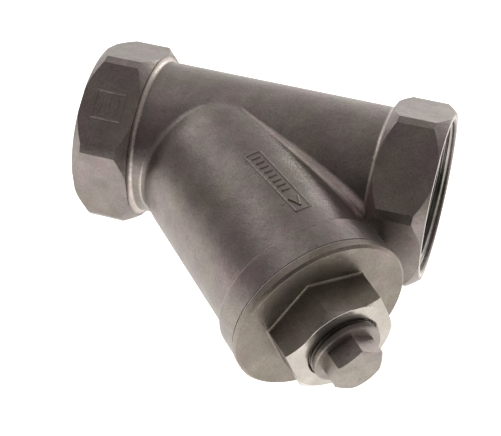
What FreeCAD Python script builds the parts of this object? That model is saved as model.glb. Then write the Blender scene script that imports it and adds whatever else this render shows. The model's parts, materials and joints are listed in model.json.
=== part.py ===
import FreeCAD, Part
import os

# Y strainer, G2 (DN 50), 140 mm face to face, stainless steel casting.
# +X is the flow direction, the origin is the centre of the inlet face, +Z is up as the
# strainer lies on its side, and the screen branch leans toward the outlet on the -Y side.
# "t" in the names below is the distance along the branch axis from where it crosses the
# run axis.

DIMENSIONS = [
    ("run_length", 140.0, "face to face"),
    ("run_radius", 30.7, "outside of the cast run"),
    ("waterway_radius", 26.5, "inside of the cast run"),
    ("end_thread_radius", 29.807, "G2 major radius, both ends"),
    ("end_thread_length", 21.5, "depth of the G2 threads"),
    ("end_hex_flats", 66.0, "spanner size of the ends"),
    ("end_hex_width", 22.5, "axial width of the end hexagons"),
    ("end_hex_round", 37.1, "turned radius over the hexagon corners"),
    ("end_face_radius", 33.3, "outer circle of the end faces"),
    ("end_chamfer_front", 4.5, "axial run of the outer chamfer"),
    ("end_chamfer_back", 3.9, "axial run of the inner chamfer"),
    ("end_back_radius", 33.4, "circle where the inner chamfer ends"),
    ("neck_fillet", 2.2, "cast radius behind the hexagons"),
    ("branch_x", 42.4, "where the branch axis crosses the run axis"),
    ("branch_angle", 45.0, "between the run and the branch"),
    ("branch_radius", 32.0, "outside of the cast branch"),
    ("dome_t", 20.0, "centre of the rounded back of the branch"),
    ("branch_fillet", 5.0, "cast radius between branch and run"),
    ("collar_t", 83.6, "start of the thicker collar"),
    ("collar_end_t", 94.85, "machined end face of the branch"),
    ("collar_radius", 34.3, "outside of the collar"),
    ("collar_fillet", 1.1, "rounding of the collar step"),
    ("partition_t", 2.0, "inlet side of the inner partition"),
    ("seat_t", 6.0, "face the screen stands on"),
    ("seat_radius", 22.5, "hole in the partition"),
    ("guide_end_t", 11.0, "end of the guide ring around the screen"),
    ("guide_radius", 25.6, "bore of the guide ring"),
    ("guide_wall_radius", 28.6, "outside of the guide ring"),
    ("chamber_t", 12.0, "start of the full chamber"),
    ("chamber_radius", 28.0, "screen chamber"),
    ("cap_bore_t", 80.5, "start of the cap thread in the branch"),
    ("cap_bore_radius", 30.0, "M60 x 2 cap thread in the branch"),
    ("gasket_t", 94.9, "inner face of the gasket"),
    ("gasket_thickness", 0.7, "flat PTFE ring"),
    ("gasket_inner", 30.3, "inner radius of the gasket"),
    ("gasket_outer", 34.0, "outer radius of the gasket"),
    ("spigot_t", 82.5, "inner end of the cap thread"),
    ("spigot_radius", 29.92, "cap thread, running fit in the branch"),
    ("recess_t", 92.0, "floor of the recess for the screen"),
    ("flange_t", 95.65, "back of the cap flange"),
    ("flange_face_t", 99.5, "front of the cap flange"),
    ("flange_radius", 34.7, "outside of the cap flange"),
    ("flange_chamfer", 1.0, "front edge of the flange"),
    ("cap_hex_flats", 39.5, "spanner size of the cap"),
    ("cap_hex_end_t", 114.45, "outer face of the cap hexagon"),
    ("cap_hex_chamfer", 2.3, "axial run of the turned hexagon chamfer"),
    ("cap_hex_turn", 16.5, "angle the cap happens to stand at"),
    ("cap_hex_fillet", 1.0, "cast radius between flange and hexagon"),
    ("drain_radius", 13.6, "R 3/4 drain bore in the cap"),
    ("drain_mouth", 14.3, "lead-in circle of the drain bore"),
    ("drain_t", 97.0, "inner end of the drain thread"),
    ("drain_neck_radius", 11.0, "hole between recess and drain thread"),
    ("plug_t", 98.0, "inner end of the plug"),
    ("plug_radius", 13.2, "plug thread"),
    ("plug_shoulder_radius", 13.5, "thick end of the taper"),
    ("plug_shoulder_t", 114.6, "where the thick end starts"),
    ("plug_head_t", 118.0, "start of the plug hexagon"),
    ("plug_end_t", 126.0, "outer face of the plug"),
    ("plug_hex_flats", 18.0, "spanner size of the plug"),
    ("plug_hex_turn", -4.6, "angle the plug happens to stand at"),
    ("plug_hex_chamfer", 0.6, "axial run of the turned plug chamfer"),
    ("plug_lead", 1.0, "lead-in at the tip of the plug"),
    ("plug_hollow_radius", 8.5, "hollow in the back of the plug"),
    ("plug_hollow_depth", 12.0, "depth of that hollow"),
    ("tape_t", 100.0, "inner end of the seal tape"),
    ("tape_end_t", 112.0, "outer end of the seal tape"),
    ("tape_inner", 13.25, "inside of the seal tape"),
    ("tape_outer", 13.52, "outside of the seal tape"),
    ("screen_t", 6.1, "upper end of the screen"),
    ("screen_end_t", 91.9, "lower end of the screen"),
    ("screen_radius", 24.9, "outside of the screen sheet"),
    ("screen_sheet", 0.8, "screen sheet"),
    ("ring_radius", 25.5, "outside of the screen end rings"),
    ("ring_length", 8.0, "axial length of the end rings"),
]

doc = FreeCAD.newDocument("y_strainer")
dims = doc.addObject("Spreadsheet::Sheet", "Dims")
for row, (alias, value, note) in enumerate(DIMENSIONS, start=1):
    dims.set("A%d" % row, alias)
    dims.set("B%d" % row, str(value))
    dims.setAlias("B%d" % row, alias)
    dims.set("C%d" % row, note)
doc.recompute()

RUN_TURN = "rotation(vector(0; 1; 0); 90)"
BRANCH_TURN = "rotation(vector(0; 0; 1); -Dims.branch_angle) * " + RUN_TURN


def bind(obj, **expressions):
    for prop, expression in expressions.items():
        obj.setExpression(prop, expression)
    return obj


def on_run(obj, start):
    """Stand an object along the run, its base at X = start."""
    obj.setExpression("Placement", "placement(vector(%s; 0; 0); %s)" % (start, RUN_TURN))
    return obj


def on_branch(obj, start, spin="0"):
    """Stand an object along the branch, its base at t = start."""
    along = "vector(Dims.branch_x + (%s) * cos(Dims.branch_angle); -(%s) * sin(Dims.branch_angle); 0)"
    turn = BRANCH_TURN + " * rotation(vector(0; 0; 1); %s)" % spin
    obj.setExpression("Placement", "placement(%s; %s)" % (along % (start, start), turn))
    return obj


def cylinder(name, radius, start, end, place=on_branch):
    obj = doc.addObject("Part::Cylinder", name)
    bind(obj, Radius=radius, Height="(%s) - (%s)" % (end, start))
    return place(obj, start)


def cone(name, base_radius, top_radius, start, end, place=on_branch):
    obj = doc.addObject("Part::Cone", name)
    bind(obj, Radius1=base_radius, Radius2=top_radius, Height="(%s) - (%s)" % (end, start))
    return place(obj, start)


def hexagon(name, flats, start, end, place=on_branch, **where):
    obj = doc.addObject("Part::Prism", name)
    obj.Polygon = 6
    bind(obj, Circumradius="(%s) / 2 / cos(30)" % flats, Height="(%s) - (%s)" % (end, start))
    return place(obj, start, **where)


def fuse(name, *shapes):
    obj = doc.addObject("Part::MultiFuse", name)
    obj.Shapes = list(shapes)
    obj.Refine = True
    return obj


def common(name, *shapes):
    obj = doc.addObject("Part::MultiCommon", name)
    obj.Shapes = list(shapes)
    return obj


def cut(name, base, tool):
    obj = doc.addObject("Part::Cut", name)
    obj.Base = base
    obj.Tool = tool
    obj.Refine = True
    return obj


def fillet(name, base, radius, chosen):
    """Round the edges of base that the function chosen picks out."""
    doc.recompute()
    obj = doc.addObject("Part::Fillet", name)
    obj.Base = base
    value = dims.get(radius)
    edges = base.Shape.Edges
    obj.Edges = [(i, value, value) for i, edge in enumerate(edges, start=1) if chosen(edge)]
    return obj


def is_circle(edge, radius):
    return isinstance(edge.Curve, Part.Circle) and abs(edge.Curve.Radius - radius) < 0.001


def ring(name, outer, inner, start, end, place=on_branch):
    return cut(name, cylinder(name + "_disc", outer, start, end, place),
               cylinder(name + "_hole", inner, start, end, place))


def is_collar_step(edge):
    """The two circles where the collar steps up from the branch."""
    if not isinstance(edge.Curve, Part.Circle):
        return False
    along = edge.Curve.Center.sub(FreeCAD.Vector(dims.get("branch_x"), 0, 0)).Length
    return abs(along - dims.get("collar_t")) < 0.001


def end_hexagon(name, face, sign):
    """A hexagon turned down at both ends; sign is the way from its face into the casting."""
    def piece(kind, label, near, far, *sizes):
        reach = ["%s %s (%s)" % (face, sign, distance) for distance in (near, far)]
        if sign == "-":
            reach.reverse()
            sizes = sizes[::-1]
        return kind(name + label, *sizes, *reach, place=on_run)

    band_end = "Dims.end_hex_width - Dims.end_chamfer_back"
    front = piece(cone, "_front", "0", "Dims.end_chamfer_front",
                  "Dims.end_face_radius", "Dims.end_hex_round")
    band = piece(cylinder, "_band", "Dims.end_chamfer_front", band_end, "Dims.end_hex_round")
    back = piece(cone, "_back", band_end, "Dims.end_hex_width",
                 "Dims.end_hex_round", "Dims.end_back_radius")
    prism = piece(hexagon, "_prism", "0", "Dims.end_hex_width", "Dims.end_hex_flats")
    return common(name, fuse(name + "_turned", front, band, back), prism)


# ---- body casting, outside
run = cylinder("run", "Dims.run_radius", "0", "Dims.run_length", on_run)
branch = cylinder("branch", "Dims.branch_radius", "Dims.dome_t", "Dims.collar_end_t")
dome = on_branch(doc.addObject("Part::Sphere", "dome"), "Dims.dome_t")
bind(dome, Radius="Dims.branch_radius")
tee = fillet("tee", fuse("tee_sharp", run, branch, dome), "branch_fillet",
             lambda edge: isinstance(edge.Curve, Part.BSplineCurve))
barrel = fillet("barrel", fuse("barrel_sharp", run, end_hexagon("inlet_hex", "0", "+"),
                               end_hexagon("outlet_hex", "Dims.run_length", "-")), "neck_fillet",
                lambda edge: is_circle(edge, dims.get("run_radius")))
collar = cylinder("collar", "Dims.collar_radius", "Dims.collar_t", "Dims.collar_end_t")
sleeve = fillet("sleeve", fuse("sleeve_sharp", branch, collar), "collar_fillet", is_collar_step)
casting = fuse("casting", tee, barrel, sleeve)

# ---- body casting, inside
waterway = cylinder("waterway", "Dims.waterway_radius", "0", "Dims.run_length", on_run)
inlet_side = common("inlet_side", waterway,
                    cylinder("inlet_reach", "Dims.run_length", "-Dims.run_length", "Dims.partition_t"))
guide_wall = cylinder("guide_wall", "Dims.guide_wall_radius", "Dims.seat_t", "Dims.guide_end_t")
outlet_side = cut("outlet_side",
                  common("outlet_waterway",
                         cylinder("outlet_bore", "Dims.waterway_radius", "Dims.branch_x",
                                  "Dims.run_length", on_run),
                         cylinder("outlet_reach", "Dims.run_length", "Dims.seat_t",
                                  "Dims.run_length * 2")), guide_wall)
end_threads = [
    cylinder("inlet_thread", "Dims.end_thread_radius", "0", "Dims.end_thread_length", on_run),
    cylinder("outlet_thread", "Dims.end_thread_radius", "Dims.run_length - Dims.end_thread_length",
             "Dims.run_length", on_run),
]
chamber = [
    cylinder("seat_hole", "Dims.seat_radius", "Dims.partition_t - 1", "Dims.seat_t"),
    cylinder("guide_bore", "Dims.guide_radius", "Dims.seat_t", "Dims.chamber_t"),
    cylinder("screen_chamber", "Dims.chamber_radius", "Dims.chamber_t", "Dims.cap_bore_t"),
    cylinder("cap_bore", "Dims.cap_bore_radius", "Dims.cap_bore_t", "Dims.collar_end_t"),
]
inside = fuse("inside", inlet_side, outlet_side, *end_threads, *chamber)
body = cut("body", casting, inside)

# ---- screen, open at both ends, with a folded ring round each end
inner = "Dims.screen_radius - Dims.screen_sheet"
top_flange_end = "Dims.screen_t + Dims.screen_sheet"
bottom_flange_t = "Dims.screen_end_t - Dims.screen_sheet"
screen_tube = ring("screen_tube", "Dims.screen_radius", inner, top_flange_end, bottom_flange_t)
screen_top_ring = fuse(
    "screen_top_ring",
    ring("top_flange", "Dims.ring_radius", inner, "Dims.screen_t", top_flange_end),
    ring("top_band", "Dims.ring_radius", "Dims.screen_radius", top_flange_end,
         "Dims.screen_t + Dims.ring_length"))
screen_bottom_ring = fuse(
    "screen_bottom_ring",
    ring("bottom_band", "Dims.ring_radius", "Dims.screen_radius",
         "Dims.screen_end_t - Dims.ring_length", bottom_flange_t),
    ring("bottom_flange", "Dims.ring_radius", inner, bottom_flange_t, "Dims.screen_end_t"))

# ---- cap and its gasket
cap_gasket = ring("cap_gasket", "Dims.gasket_outer", "Dims.gasket_inner", "Dims.gasket_t",
                  "Dims.gasket_t + Dims.gasket_thickness")
spigot = cylinder("spigot", "Dims.spigot_radius", "Dims.spigot_t", "Dims.flange_t")
flange = cylinder("flange", "Dims.flange_radius", "Dims.flange_t",
                  "Dims.flange_face_t - Dims.flange_chamfer")
flange_edge = cone("flange_edge", "Dims.flange_radius", "Dims.flange_radius - Dims.flange_chamfer",
                   "Dims.flange_face_t - Dims.flange_chamfer", "Dims.flange_face_t")
cap_prism = hexagon("cap_prism", "Dims.cap_hex_flats", "Dims.flange_face_t", "Dims.cap_hex_end_t",
                    spin="Dims.cap_hex_turn")
cap_corner = "(Dims.cap_hex_flats / 2 / cos(30))"
cap_turned = fuse("cap_turned",
                  cylinder("cap_round", cap_corner, "Dims.flange_face_t",
                           "Dims.cap_hex_end_t - Dims.cap_hex_chamfer"),
                  cone("cap_bevel", cap_corner, "Dims.cap_hex_flats / 2 - 0.1",
                       "Dims.cap_hex_end_t - Dims.cap_hex_chamfer", "Dims.cap_hex_end_t"))
cap_hex = common("cap_hex", cap_prism, cap_turned)
cap_outside = fillet("cap_outside", fuse("cap_sharp", spigot, flange, flange_edge, cap_hex),
                     "cap_hex_fillet",
                     lambda edge: isinstance(edge.Curve, Part.Line) and edge.Length > 20)
cap_inside = fuse("cap_inside",
                  cylinder("recess", "Dims.guide_radius", "Dims.spigot_t", "Dims.recess_t"),
                  cylinder("drain_neck", "Dims.drain_neck_radius", "Dims.recess_t", "Dims.drain_t"),
                  cylinder("drain_bore", "Dims.drain_radius", "Dims.drain_t", "Dims.cap_hex_end_t"),
                  cone("drain_lead", "Dims.drain_radius", "Dims.drain_mouth",
                       "Dims.cap_hex_end_t - (Dims.drain_mouth - Dims.drain_radius)",
                       "Dims.cap_hex_end_t"))
cap = cut("cap", cap_outside, cap_inside)

# ---- drain plug and its seal tape
plug_tape = ring("plug_tape", "Dims.tape_outer", "Dims.tape_inner", "Dims.tape_t", "Dims.tape_end_t")
plug_corner = "(Dims.plug_hex_flats / 2 / cos(30))"
plug_head = common(
    "plug_head",
    hexagon("plug_prism", "Dims.plug_hex_flats", "Dims.plug_head_t", "Dims.plug_end_t",
            spin="Dims.plug_hex_turn"),
    fuse("plug_turned",
         cylinder("plug_round", plug_corner, "Dims.plug_head_t",
                  "Dims.plug_end_t - Dims.plug_hex_chamfer"),
         cone("plug_bevel", plug_corner, "Dims.plug_hex_flats / 2",
              "Dims.plug_end_t - Dims.plug_hex_chamfer", "Dims.plug_end_t")))
plug_outside = fuse(
    "plug_outside",
    cone("plug_tip", "Dims.plug_radius - Dims.plug_lead", "Dims.plug_radius", "Dims.plug_t",
         "Dims.plug_t + Dims.plug_lead"),
    cylinder("plug_thread", "Dims.plug_radius", "Dims.plug_t + Dims.plug_lead",
             "Dims.plug_shoulder_t"),
    cylinder("plug_shoulder", "Dims.plug_shoulder_radius", "Dims.plug_shoulder_t",
             "Dims.plug_head_t - Dims.plug_lead / 2"),
    cone("plug_shoulder_edge", "Dims.plug_shoulder_radius",
         "Dims.plug_shoulder_radius - Dims.plug_lead / 2",
         "Dims.plug_head_t - Dims.plug_lead / 2", "Dims.plug_head_t"),
    plug_head)
drain_plug = cut("drain_plug", plug_outside,
                 cylinder("plug_hollow", "Dims.plug_hollow_radius", "Dims.plug_t",
                          "Dims.plug_t + Dims.plug_hollow_depth"))
doc.recompute()

SUB_PARTS = [body, screen_tube, screen_top_ring, screen_bottom_ring, cap_gasket, cap,
             plug_tape, drain_plug]
for obj in doc.Objects:
    if "Invalid" in obj.State or "Error" in obj.State:
        raise RuntimeError("%s did not build: %s" % (obj.Name, obj.State))
os.makedirs("parts", exist_ok=True)
for obj in SUB_PARTS:
    shape = obj.Shape
    if shape.isNull() or not shape.isValid() or len(shape.Solids) != 1:
        raise RuntimeError("%s is not one valid solid" % obj.Label)
    shape.exportStep("parts/%s.step" % obj.Label)
    print("%-20s %9.1f mm3" % (obj.Label, shape.Volume))
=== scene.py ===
import json
import math

import bmesh
import bpy
from mathutils import Matrix, Vector


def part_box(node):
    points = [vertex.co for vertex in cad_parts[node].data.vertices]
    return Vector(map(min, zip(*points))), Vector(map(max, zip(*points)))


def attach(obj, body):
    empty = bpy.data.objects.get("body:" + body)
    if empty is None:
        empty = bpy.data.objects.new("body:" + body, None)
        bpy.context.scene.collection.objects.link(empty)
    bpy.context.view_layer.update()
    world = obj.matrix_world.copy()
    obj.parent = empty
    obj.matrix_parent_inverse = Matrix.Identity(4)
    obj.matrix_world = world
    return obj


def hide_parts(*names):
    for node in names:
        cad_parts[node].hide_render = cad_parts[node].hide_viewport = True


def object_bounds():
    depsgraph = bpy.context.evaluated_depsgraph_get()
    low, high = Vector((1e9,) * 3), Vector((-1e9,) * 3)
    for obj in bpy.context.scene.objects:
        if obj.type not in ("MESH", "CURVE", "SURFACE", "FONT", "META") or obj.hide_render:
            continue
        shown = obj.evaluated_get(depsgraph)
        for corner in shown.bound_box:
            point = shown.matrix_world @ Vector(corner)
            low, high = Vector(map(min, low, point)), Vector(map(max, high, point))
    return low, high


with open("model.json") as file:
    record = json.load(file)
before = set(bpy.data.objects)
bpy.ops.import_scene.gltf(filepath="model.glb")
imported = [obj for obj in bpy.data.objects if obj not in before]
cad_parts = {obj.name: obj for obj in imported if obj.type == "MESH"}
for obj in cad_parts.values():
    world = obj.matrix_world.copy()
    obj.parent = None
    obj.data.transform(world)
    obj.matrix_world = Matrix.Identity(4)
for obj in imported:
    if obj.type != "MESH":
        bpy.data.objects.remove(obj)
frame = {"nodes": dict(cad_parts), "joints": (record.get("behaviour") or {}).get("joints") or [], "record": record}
cad_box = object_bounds()
record = frame["record"]
nodes = frame["nodes"]
scene = bpy.context.scene
MM = 0.001

# ---------------------------------------------------------------- the object's own axes


class Axis:
    """A line with an angle round it: point(along, radius, angle) in metres and radians."""

    def __init__(self, origin, direction, zero=Vector((0, 0, 1))):
        self.origin = origin
        self.direction = direction
        self.zero = zero
        self.side = direction.cross(zero)

    def point(self, along, radius, angle):
        return (self.origin + self.direction * along
                + (self.zero * math.cos(angle) + self.side * math.sin(angle)) * radius)

    def reach(self, node):
        """Where a CAD node starts and ends along the axis."""
        place = nodes[node].matrix_world
        along = [(place @ v.co - self.origin).dot(self.direction) for v in nodes[node].data.vertices]
        return min(along), max(along)


mounts = {m["name"]: m for m in record["mounts"]}
joints = {j["name"]: j for j in frame["joints"]}
body_low, body_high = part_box("body")
run_in = Axis(Vector((body_low.x, 0, 0)), Vector((1, 0, 0)))
run_out = Axis(Vector((body_high.x, 0, 0)), Vector((-1, 0, 0)))
branch_way = Vector(joints["cap_turn"]["axis"]).normalized()
flange_face = Vector(joints["cap_turn"]["pos_m"])
branch = Axis(flange_face - branch_way * (flange_face.y / branch_way.y), branch_way)

major = mounts["outlet_thread"]["dims"]["r_mm"] * MM
hex_apothem = 33.0 * MM
hex_width = 22.5 * MM
branch_radius = 32.0 * MM
run_radius = 30.7 * MM
cap_bore = 30.0 * MM
spigot = 29.92 * MM
drain_bore = 13.6 * MM
shank = 13.2 * MM
sheet_outside = 24.9 * MM
sheet_inside = 24.1 * MM
cap_start, cap_end = branch.reach("cap")
gasket_start = branch.reach("cap_gasket")[0]
plug_start, plug_end = branch.reach("drain_plug")
screen_start, screen_end = branch.reach("screen_tube")
ring_start, ring_end = branch.reach("screen_top_ring")


# ---------------------------------------------------------------- mesh helpers
def mesh_from(name, points, faces):
    mesh = bpy.data.meshes.new(name)
    mesh.from_pydata(points, [], faces)
    bm = bmesh.new()
    bm.from_mesh(mesh)
    bmesh.ops.remove_doubles(bm, verts=bm.verts, dist=1e-7)
    bmesh.ops.recalc_face_normals(bm, faces=bm.faces)
    bm.to_mesh(mesh)
    bm.free()
    return mesh


def new_object(name, mesh, body, sharp_from=40):
    obj = bpy.data.objects.new(name, mesh)
    scene.collection.objects.link(obj)
    mesh.shade_smooth()
    mesh.set_sharp_from_angle(angle=math.radians(sharp_from))
    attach(obj, body)
    return obj


def sweep(rings, ends=True):
    """Skin a list of equally long closed rings of points."""
    size = len(rings[0])
    points = [p for ring in rings for p in ring]
    faces = []
    for i in range(len(rings) - 1):
        for j in range(size):
            k = (j + 1) % size
            faces.append((i * size + j, i * size + k, (i + 1) * size + k, (i + 1) * size + j))
    if ends:
        faces.append(tuple(range(size))[::-1])
        faces.append(tuple((len(rings) - 1) * size + j for j in range(size)))
    return points, faces


def joined(shapes):
    points, faces = [], []
    for more, cells in shapes:
        faces += [tuple(len(points) + k for k in cell) for cell in cells]
        points += more
    return points, faces


def lathe(axis, profile, segments=96):
    """A closed solid of revolution; profile is a list of (along, radius)."""
    turns = [2 * math.pi * k / segments for k in range(segments)]
    return sweep([[axis.point(along, radius, turn) for turn in turns] for along, radius in profile])


def helix(axis, start, end, pitch, profile, fades=(0.25, 0.5), per_turn=72):
    """A right-hand thread; profile is (along, radius) across one pitch, its base first.

    The thread fades to its base over the given parts of a turn at its two ends."""
    steps = int((end - start) / pitch * per_turn)
    base = profile[0][1]
    rings = []
    for i in range(steps + 1):
        centre = start + pitch * i / per_turn
        fade = min([1.0] + [n / (per_turn * part) for n, part in zip((i, steps - i), fades) if part])
        turn = 2 * math.pi * i / per_turn
        rings.append([axis.point(centre + offset, base + (radius - base) * fade, turn)
                      for offset, radius in profile])
    return sweep(rings)


def groove(radius, way, mouth, root, lip, depth):
    """Section of a thread groove in mm: half widths at mouth and root, height over and depth under the
    surface. way is 1 for a groove in a bore and -1 for one in a shaft."""
    return [(way * x * MM, radius + way * h * MM)
            for x, h in ((mouth, -lip), (root, depth), (-root, depth), (-mouth, -lip))]


def own_copy(name, node, body):
    """A copy of a CAD node that may be carved, which stands in for the node."""
    mesh = nodes[node].data.copy()
    mesh.transform(nodes[node].matrix_world)
    if "custom_normal" in mesh.attributes:
        mesh.attributes.remove(mesh.attributes["custom_normal"])
    obj = new_object(name, mesh, body)
    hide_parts(node)
    return obj


def soften(obj, width):
    """Round off the sharp outer edges a little, as blasting and tumbling leave them."""
    bm = bmesh.new()
    bm.from_mesh(obj.data)
    bmesh.ops.remove_doubles(bm, verts=bm.verts, dist=1e-6)
    bmesh.ops.dissolve_limit(bm, angle_limit=math.radians(0.4), verts=bm.verts, edges=bm.edges)
    sharp = [e for e in bm.edges if e.is_manifold and e.is_convex
             and e.calc_face_angle() > math.radians(24)]
    bmesh.ops.bevel(bm, geom=sharp, offset=width, offset_type="OFFSET", segments=2, profile=0.5,
                    affect="EDGES", clamp_overlap=True)
    bmesh.ops.triangulate(bm, faces=[f for f in bm.faces if len(f.verts) > 4])
    bm.to_mesh(obj.data)
    bm.free()


def carve(obj, shape):
    """Cut a closed shape, given as points and faces, out of obj."""
    tool = bpy.data.objects.new("tool", mesh_from("tool", *shape))
    scene.collection.objects.link(tool)
    modifier = obj.modifiers.new("carve", "BOOLEAN")
    modifier.object = tool
    modifier.solver = "EXACT"
    graph = bpy.context.evaluated_depsgraph_get()
    carved = bpy.data.meshes.new_from_object(obj.evaluated_get(graph))
    obj.modifiers.clear()
    obj.data = carved
    carved.shade_smooth()
    carved.set_sharp_from_angle(angle=math.radians(24))
    bpy.data.objects.remove(tool)


def even_normals(obj):
    """Keep flat faces flat where they run into rounded ones."""
    modifier = obj.modifiers.new("even_normals", "WEIGHTED_NORMAL")
    modifier.keep_sharp = True
    modifier.weight = 100


def stroke(path, width, height, place, closed=False, step=0.7 * MM):
    """A raised line with sloping sides along a path of (u, v) points on a surface."""
    corners = path + path[:1] if closed else path
    centres = []
    for start, end in zip(corners, corners[1:]):
        count = max(1, round(math.dist(start, end) / step))
        centres += [Vector(start).lerp(Vector(end), k / count) for k in range(count)]
    if not closed:
        centres.append(Vector(corners[-1]))
    last = len(centres) - 1
    section = ((-0.5, -0.5), (-0.38, 0.2), (-0.24, 0.75), (0.0, 1.0), (0.24, 0.75), (0.38, 0.2),
               (0.5, -0.5))
    rings = []
    for i, centre in enumerate(centres):
        before = centres[i - 1] if closed or i > 0 else centre
        after = centres[(i + 1) % len(centres)] if closed or i < last else centre
        way = (after - before).normalized()
        side = Vector((-way.y, way.x)) * width
        rings.append([place(*(centre + side * w), h * height) for w, h in section])
    if closed:
        rings.append(rings[0])
    return sweep(rings, ends=not closed)


# ---------------------------------------------------------------- materials
def nodes_of(name):
    material = bpy.data.materials.new(name)
    material.use_nodes = True
    tree = material.node_tree
    tree.nodes.clear()
    out = tree.nodes.new("ShaderNodeOutputMaterial")
    shader = tree.nodes.new("ShaderNodeBsdfPrincipled")
    tree.links.new(shader.outputs[0], out.inputs[0])
    coords = tree.nodes.new("ShaderNodeTexCoord")
    return material, tree, shader, coords.outputs["Object"]


def noise(tree, coords, scale, detail=4.0, rough=0.55):
    node = tree.nodes.new("ShaderNodeTexNoise")
    node.inputs["Scale"].default_value = scale
    node.inputs["Detail"].default_value = detail
    node.inputs["Roughness"].default_value = rough
    tree.links.new(coords, node.inputs["Vector"])
    return node.outputs["Fac"]


def ramp(tree, fac, *stops):
    node = tree.nodes.new("ShaderNodeValToRGB")
    while len(node.color_ramp.elements) < len(stops):
        node.color_ramp.elements.new(0.5)
    for element, (place, colour) in zip(node.color_ramp.elements, stops):
        element.position = place
        element.color = (*colour, 1.0)
    tree.links.new(fac, node.inputs["Fac"])
    return node.outputs["Color"]


def grey(value):
    return (value, value, value)


def mapped(tree, fac, low, high):
    node = tree.nodes.new("ShaderNodeMapRange")
    node.inputs["To Min"].default_value = low
    node.inputs["To Max"].default_value = high
    tree.links.new(fac, node.inputs["Value"])
    return node.outputs["Result"]


def multiply(tree, share, a, b):
    node = tree.nodes.new("ShaderNodeMix")
    node.data_type = "RGBA"
    node.blend_type = "MULTIPLY"
    node.inputs["Factor"].default_value = share
    tree.links.new(a, node.inputs[6])
    tree.links.new(b, node.inputs[7])
    return node.outputs[2]


def bump(tree, height, strength, distance, normal=None):
    node = tree.nodes.new("ShaderNodeBump")
    node.inputs["Strength"].default_value = strength
    node.inputs["Distance"].default_value = distance
    tree.links.new(height, node.inputs["Height"])
    if normal is not None:
        tree.links.new(normal, node.inputs["Normal"])
    return node.outputs["Normal"]


def vector_step(tree, operation, value, fixed=None):
    """One vector operation; the second operand, where there is one, is a fixed vector."""
    node = tree.nodes.new("ShaderNodeVectorMath")
    node.operation = operation
    tree.links.new(value, node.inputs[0])
    if fixed is not None:
        node.inputs[1].default_value = fixed
    return node.outputs["Value" if operation in ("LENGTH", "DOT_PRODUCT") else "Vector"]


def number_step(tree, operation, a, b):
    """One number operation; b is a socket or a fixed number."""
    node = tree.nodes.new("ShaderNodeMath")
    node.operation = operation
    tree.links.new(a, node.inputs[0])
    if isinstance(b, float):
        node.inputs[1].default_value = b
    else:
        tree.links.new(b, node.inputs[1])
    return node.outputs[0]


def above(tree, coords, axis, radius):
    """Height of a point over a cylinder that runs one way from the axis origin, in metres."""
    arm = vector_step(tree, "SUBTRACT", coords, axis.origin)
    distance = vector_step(tree, "LENGTH", vector_step(tree, "CROSS_PRODUCT", arm, axis.direction))
    along = vector_step(tree, "DOT_PRODUCT", arm, axis.direction)
    behind = number_step(tree, "MAXIMUM", number_step(tree, "MULTIPLY", along, -10.0), 0.0)
    return number_step(tree, "ADD", number_step(tree, "SUBTRACT", distance, radius), behind)


def painted_crease_highlight(material, amount):
    """Painted highlight: the base colour is lightened in the inside corners between branch, run, collar and
    hexagons, standing in for the highlight the metal shows there.
    """
    deepest = 2.5 * MM
    tree = material.node_tree
    shader = next(n for n in tree.nodes if n.type == "BSDF_PRINCIPLED")
    coords = next(n for n in tree.nodes if n.type == "TEX_COORD").outputs["Object"]
    lower = number_step(tree, "MINIMUM", above(tree, coords, run_in, run_radius),
                        above(tree, coords, branch, branch_radius))
    scaled = tree.nodes.new("ShaderNodeMapRange")
    scaled.inputs["From Max"].default_value = deepest
    tree.links.new(lower, scaled.inputs["Value"])
    # painted highlight: lightens the base colour by up to 1 + amount close to the corners, fading out by 2.5 mm
    painted_highlight = ramp(tree, scaled.outputs["Result"], (0.0, grey(1.0)), (0.07, grey(1.0 + amount)),
                (0.55, grey(1.0 + 0.8 * amount)), (0.85, grey(1.0)))
    colour = shader.inputs["Base Color"].links[0].from_socket
    tree.links.new(multiply(tree, 1.0, colour, painted_highlight), shader.inputs["Base Color"])


def steel(name, dark, mid, light, rough=(0.34, 0.46), grain=1.0):
    """Blasted casting: fine grain, small pits, soft stains with faint warm and cool tints."""
    material, tree, shader, coords = nodes_of(name)
    colour = ramp(tree, noise(tree, coords, 110.0, 5.0, 0.6), (0.30, dark), (0.52, mid), (0.74, light))
    tint = ramp(tree, noise(tree, coords, 60.0, 3.0), (0.36, (0.98, 1.0, 0.92)), (0.52, grey(1.0)),
                (0.66, (1.03, 0.95, 0.99)))
    colour = multiply(tree, 1.0, colour, tint)
    speck = ramp(tree, noise(tree, coords, 1300.0, 3.0, 0.7), (0.30, grey(0.72)), (0.50, grey(1.0)),
                 (0.72, grey(1.22)))
    colour = multiply(tree, 0.75 * grain, colour, speck)
    pits = ramp(tree, noise(tree, coords, 520.0, 2.0), (0.24, grey(0.55)), (0.31, grey(1.0)))
    colour = multiply(tree, 0.8 * grain, colour, pits)
    tree.links.new(colour, shader.inputs["Base Color"])
    tree.links.new(mapped(tree, noise(tree, coords, 260.0, 4.0), *rough), shader.inputs["Roughness"])
    shader.inputs["Metallic"].default_value = 0.95
    coarse = bump(tree, noise(tree, coords, 330.0, 3.0), 0.22 * grain, 0.5 * MM)
    fine = bump(tree, noise(tree, coords, 1500.0, 3.0, 0.65), 0.55 * grain, 0.12 * MM, coarse)
    tree.links.new(fine, shader.inputs["Normal"])
    return material


def tape_plastic(name, dark, mid, light):
    """PTFE: milky white with faint drawn streaks."""
    material, tree, shader, coords = nodes_of(name)
    colour = ramp(tree, noise(tree, coords, 380.0, 4.0), (0.30, dark), (0.52, mid), (0.74, light))
    tree.links.new(colour, shader.inputs["Base Color"])
    tree.links.new(mapped(tree, noise(tree, coords, 900.0), 0.42, 0.6), shader.inputs["Roughness"])
    shader.inputs["Subsurface Weight"].default_value = 0.08
    shader.inputs["Subsurface Scale"].default_value = 0.5 * MM
    tree.links.new(bump(tree, noise(tree, coords, 1800.0), 0.2, 0.05 * MM), shader.inputs["Normal"])
    return material


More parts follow.
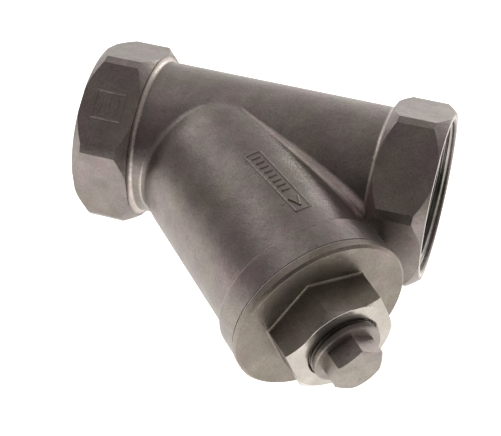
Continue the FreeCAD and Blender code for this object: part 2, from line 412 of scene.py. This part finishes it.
cast_body = steel("cast_body", (0.180, 0.158, 0.151), (0.215, 0.190, 0.180), (0.255, 0.229, 0.216))
cast_marks = steel("cast_marks", (0.190, 0.168, 0.160), (0.230, 0.205, 0.195), (0.275, 0.248, 0.234))
cast_cap = steel("cast_cap", (0.165, 0.144, 0.124), (0.200, 0.176, 0.152), (0.245, 0.219, 0.193))
cast_plug = steel("cast_plug", (0.200, 0.178, 0.164), (0.245, 0.220, 0.203), (0.300, 0.272, 0.252),
                  grain=0.8)
turned = steel("turned", (0.34, 0.315, 0.29), (0.39, 0.365, 0.335), (0.45, 0.425, 0.395),
               rough=(0.17, 0.24), grain=0.3)
cut_thread = steel("cut_thread", (0.24, 0.23, 0.22), (0.32, 0.31, 0.295), (0.42, 0.41, 0.39),
                   rough=(0.24, 0.34), grain=0.25)
sheet_steel = steel("sheet_steel", (0.42, 0.41, 0.40), (0.50, 0.49, 0.48), (0.58, 0.57, 0.56),
                    rough=(0.26, 0.36), grain=0.2)
ptfe = tape_plastic("ptfe", (0.70, 0.69, 0.66), (0.80, 0.79, 0.77), (0.86, 0.86, 0.84))
# painted highlight lightening the cast body's colour in its inside corners
painted_crease_highlight(cast_body, 1.4)


def paint(obj, material):
    obj.data.materials.clear()
    obj.data.materials.append(material)


# ---------------------------------------------------------------- casting
countersink = 0.5 * MM
cast_edge = 0.35 * MM
cap_pitch = 2.0 * MM
casting = own_copy("casting", "body", "casting")
soften(casting, cast_edge)
for axis in (run_in, run_out):
    carve(casting, lathe(axis, [(-0.5 * MM, major + countersink + 0.5 * MM),
                                (countersink + 0.2 * MM, major - 0.2 * MM)]))
carve(casting, helix(branch, cap_start - 0.9 * MM, gasket_start + 1.5 * MM, cap_pitch,
                     groove(cap_bore, 1, 0.84, 0.18, 0.25, 1.05), fades=(0.3, 0)))
even_normals(casting)
paint(casting, cast_body)

# G2: Whitworth ridges, 11 to the inch, rounded at crest and root
g2_pitch = 2.309 * MM
ridges_start, ridges_end = 1.75 * MM, 20.2 * MM
whitworth = ((-1.15, -0.16), (-1.12, 0.03), (-0.95, 0.09), (-0.80, 0.33), (-0.37, 1.16), (-0.20, 1.41),
             (0.0, 1.479), (0.20, 1.41), (0.37, 1.16), (0.80, 0.33), (0.95, 0.09), (1.12, 0.03),
             (1.15, -0.16))
for name, axis in (("inlet_ridges", run_in), ("outlet_ridges", run_out)):
    shape = helix(axis, ridges_start, ridges_end, g2_pitch,
                  [(x * MM, major - h * MM) for x, h in whitworth], fades=(0.6, 0.5))
    paint(new_object(name, mesh_from(name, *shape), "casting"), cut_thread)


# raised marks: a blank frame with a flow arrow on the branch, a blank tag on the inlet hexagon
def on_branch_side(u, v, height):
    """u along the mark, v across it; the mark leans a little against the branch axis."""
    lean = math.radians(7)
    along = 58.2 * MM + u * math.cos(lean) - v * math.sin(lean)
    arc = 3.6 * MM + u * math.sin(lean) + v * math.cos(lean)
    return branch.point(along, branch_radius + height, -arc / branch_radius)


def on_inlet_flat(u, v, height):
    normal = Vector((0, -0.5, math.sqrt(0.75)))
    across = Vector((0, math.sqrt(0.75), 0.5))
    return run_in.origin + Vector((hex_width / 2 + u, 0, 0)) + across * v + normal * (hex_apothem + height)


def rectangle(length, width):
    u, v = length / 2, width / 2
    return [(-u, -v), (u, -v), (u, v), (-u, v)]


frame_length, frame_width = 32.5 * MM, 6.6 * MM
tip = (frame_length / 2 - 2.0 * MM, 0.0)
branch_marks = [stroke(rectangle(frame_length, frame_width), 1.2 * MM, 0.35 * MM, on_branch_side,
                       closed=True)]
for side in (-2.1 * MM, 2.1 * MM):
    branch_marks.append(stroke([(tip[0] - 4.6 * MM, side), tip], 1.1 * MM, 0.5 * MM, on_branch_side))
for bar in range(8):
    u = -frame_length / 2 + (2.6 + 2.7 * bar) * MM
    branch_marks.append(stroke([(u, -1.7 * MM), (u, 1.7 * MM)], 1.0 * MM, 0.5 * MM, on_branch_side))
inlet_tag = [stroke(rectangle(11.6 * MM, 11.0 * MM), 0.9 * MM, 0.3 * MM, on_inlet_flat, closed=True)]
for column in (-3.3 * MM, 0.0, 3.3 * MM):
    inlet_tag.append(stroke([(column, -3.2 * MM), (column, 3.2 * MM)], 1.3 * MM, 0.35 * MM,
                            on_inlet_flat))
for name, shapes in (("branch_marks", branch_marks), ("inlet_tag", inlet_tag)):
    marks = new_object(name, mesh_from(name, *joined(shapes)), "casting", sharp_from=80)
    paint(marks, cast_marks)

# ---------------------------------------------------------------- cap and plug
drain_pitch = 1.8143 * MM
turned_edge = 0.25 * MM
chamfer_depth = 2.4 * MM
cap = own_copy("screw_cap", "cap", "screw_cap")
soften(cap, turned_edge)
carve(cap, helix(branch, cap_start - 1.2 * MM, cap_start + 11.2 * MM, cap_pitch,
                 groove(spigot, -1, 0.84, 0.18, 0.25, 1.05), fades=(0, 0.4)))
carve(cap, helix(branch, plug_start + 0.4 * MM, cap_end + 1.2 * MM, drain_pitch,
                 groove(drain_bore, 1, 0.72, 0.15, 0.25, 0.85), fades=(0.4, 0)))
even_normals(cap)
paint(cap, cast_cap)
cap.data.materials.append(turned)
for face in cap.data.polygons:
    at_the_end = (face.center - branch.origin).dot(branch_way) > cap_end - chamfer_depth
    if at_the_end and face.normal.dot(branch_way) > 0.3:
        face.material_index = 1

plug = own_copy("hex_plug", "drain_plug", "plug")
soften(plug, turned_edge)
carve(plug, helix(branch, plug_start - 1.0 * MM, plug_end - 9.2 * MM, drain_pitch,
                  groove(shank, -1, 0.76, 0.15, 0.55, 0.95), fades=(0, 0.3)))
even_normals(plug)
paint(plug, cast_plug)


# ---------------------------------------------------------------- screen
def perforated(axis, start, end, outer, inner, around=52, rows=26, hole=0.95 * MM):
    """A tube of rolled sheet with staggered round holes."""
    width = 2 * math.pi / around
    height = (end - start) / rows
    corners = [(-1, -1), (0, -1), (1, -1), (1, 0), (1, 1), (0, 1), (-1, 1), (-1, 0)]
    points, faces = [], []
    for row in range(rows):
        for column in range(around):
            turn = (column + 0.5 * (row % 2)) * width
            along = start + (row + 0.5) * height
            base = len(points)
            for radius in (outer, inner):
                points += [axis.point(along + y * height / 2, radius, turn + x * width / 2)
                           for x, y in corners]
                for x, y in corners:
                    size = math.hypot(x, y)
                    points.append(axis.point(along + y / size * hole, radius,
                                             turn + x / size * hole / radius))
            for k in range(8):
                n = (k + 1) % 8
                faces.append((base + k, base + n, base + 8 + n, base + 8 + k))
                faces.append((base + 16 + n, base + 16 + k, base + 24 + k, base + 24 + n))
                faces.append((base + 8 + k, base + 8 + n, base + 24 + n, base + 24 + k))
    return points, faces


def plain_band(axis, start, end, outer, inner, around=104):
    """A plain stretch of the same sheet, open toward the perforated part."""
    turns = [2 * math.pi * k / around for k in range(around)]
    corners = ((end, outer), (start, outer), (start, inner), (end, inner))
    rings = [[axis.point(along, radius, turn) for turn in turns] for along, radius in corners]
    return sweep(rings, ends=False)


band = ring_end - ring_start + 0.4 * MM
holes_start, holes_end = screen_start + band, screen_end - band
screen_shape = joined([
    perforated(branch, holes_start, holes_end, sheet_outside, sheet_inside),
    plain_band(branch, screen_start, holes_start, sheet_outside, sheet_inside),
    plain_band(branch, screen_end, holes_end, sheet_outside, sheet_inside)])
screen = new_object("screen_sheet", mesh_from("screen_sheet", *screen_shape), "screen")
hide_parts("screen_tube")
paint(screen, sheet_steel)
for node, material in {"screen_top_ring": sheet_steel, "screen_bottom_ring": sheet_steel,
                       "cap_gasket": ptfe, "plug_tape": ptfe}.items():
    paint(nodes[node], material)

# ---------------------------------------------------------------- stage
to_camera = Vector((0.2110, -0.6329, 0.7450))
floor_z = cad_box[0].z
floor_mesh = bpy.data.meshes.new("floor")
floor_mesh.from_pydata([(-3, -3, floor_z), (3, -3, floor_z), (3, 3, floor_z), (-3, 3, floor_z)], [],
                       [(0, 1, 2, 3)])
floor = bpy.data.objects.new("floor", floor_mesh)
scene.collection.objects.link(floor)
white = bpy.data.materials.new("floor")
white.use_nodes = True
white_shader = white.node_tree.nodes["Principled BSDF"]
white_shader.inputs["Base Color"].default_value = (0.85, 0.85, 0.85, 1)
white_shader.inputs["Roughness"].default_value = 0.9
white_shader.inputs["Emission Color"].default_value = (1.0, 0.98, 0.95, 1)
glow = white.node_tree.nodes.new("ShaderNodeMapRange")
for socket, value in {"From Min": -0.25, "From Max": 0.2, "To Min": 1.7, "To Max": 0.95}.items():
    glow.inputs[socket].default_value = value
floor_place = white.node_tree.nodes.new("ShaderNodeTexCoord")
floor_axes = white.node_tree.nodes.new("ShaderNodeSeparateXYZ")
white.node_tree.links.new(floor_place.outputs["Object"], floor_axes.inputs[0])
white.node_tree.links.new(floor_axes.outputs["Y"], glow.inputs["Value"])
white.node_tree.links.new(glow.outputs["Result"], white_shader.inputs["Emission Strength"])
floor_mesh.materials.append(white)

# a dome that is dark low down in front, mid grey overhead and bright toward the back
world = bpy.data.worlds.new("studio")
scene.world = world
world.use_nodes = True
sky = world.node_tree
facing = sky.nodes.new("ShaderNodeVectorMath")
facing.operation = "DOT_PRODUCT"
facing.inputs[1].default_value = (0.0, -0.968, 0.25)
sky_coords = sky.nodes.new("ShaderNodeTexCoord")
sky.links.new(sky_coords.outputs["Generated"], facing.inputs[0])
spread = sky.nodes.new("ShaderNodeMapRange")
spread.inputs["From Min"].default_value = -1.0
sky.links.new(facing.outputs["Value"], spread.inputs["Value"])
dome = ramp(sky, spread.outputs["Result"], (0.0, (0.95, 0.92, 0.90)), (0.20, (0.80, 0.77, 0.75)),
            (0.32, (0.44, 0.415, 0.405)), (0.50, (0.35, 0.322, 0.317)), (0.77, (0.40, 0.365, 0.36)),
            (0.89, (0.10, 0.088, 0.088)), (1.0, (0.05, 0.043, 0.044)))
sky.links.new(dome, sky.nodes["Background"].inputs["Color"])


def softbox(name, place, size, power):
    """A rectangular light that faces the middle of the strainer."""
    target = Vector((0.07, -0.03, 0))
    light = bpy.data.lights.new(name, "AREA")
    light.shape = "RECTANGLE"
    light.size, light.size_y = size
    light.energy = power
    obj = bpy.data.objects.new(name, light)
    scene.collection.objects.link(obj)
    obj.location = place
    obj.rotation_euler = (target - Vector(place)).to_track_quat("-Z", "Y").to_euler()


softbox("key", (-0.6, 0.4, 0.7), (0.6, 0.6), 1.5)
softbox("rim", (0.30, 0.80, 0.10), (0.35, 0.20), 1.2)

# ---------------------------------------------------------------- camera
scene.view_settings.view_transform = "Standard"
camera_data = bpy.data.cameras.new("camera")
camera_data.lens = 98.77
camera_data.sensor_width = 36.0
camera_data.clip_start = 0.01
camera = bpy.data.objects.new("camera", camera_data)
scene.collection.objects.link(camera)
right = Vector((0.9534, 0.3014, -0.0139))
camera_up = Vector((-0.2158, 0.7132, 0.6670))
camera.matrix_world = Matrix.Translation((0.18495, -0.36690, 0.39442)) @ Matrix(
    (right, camera_up, to_camera)).transposed().to_4x4()
scene.camera = camera
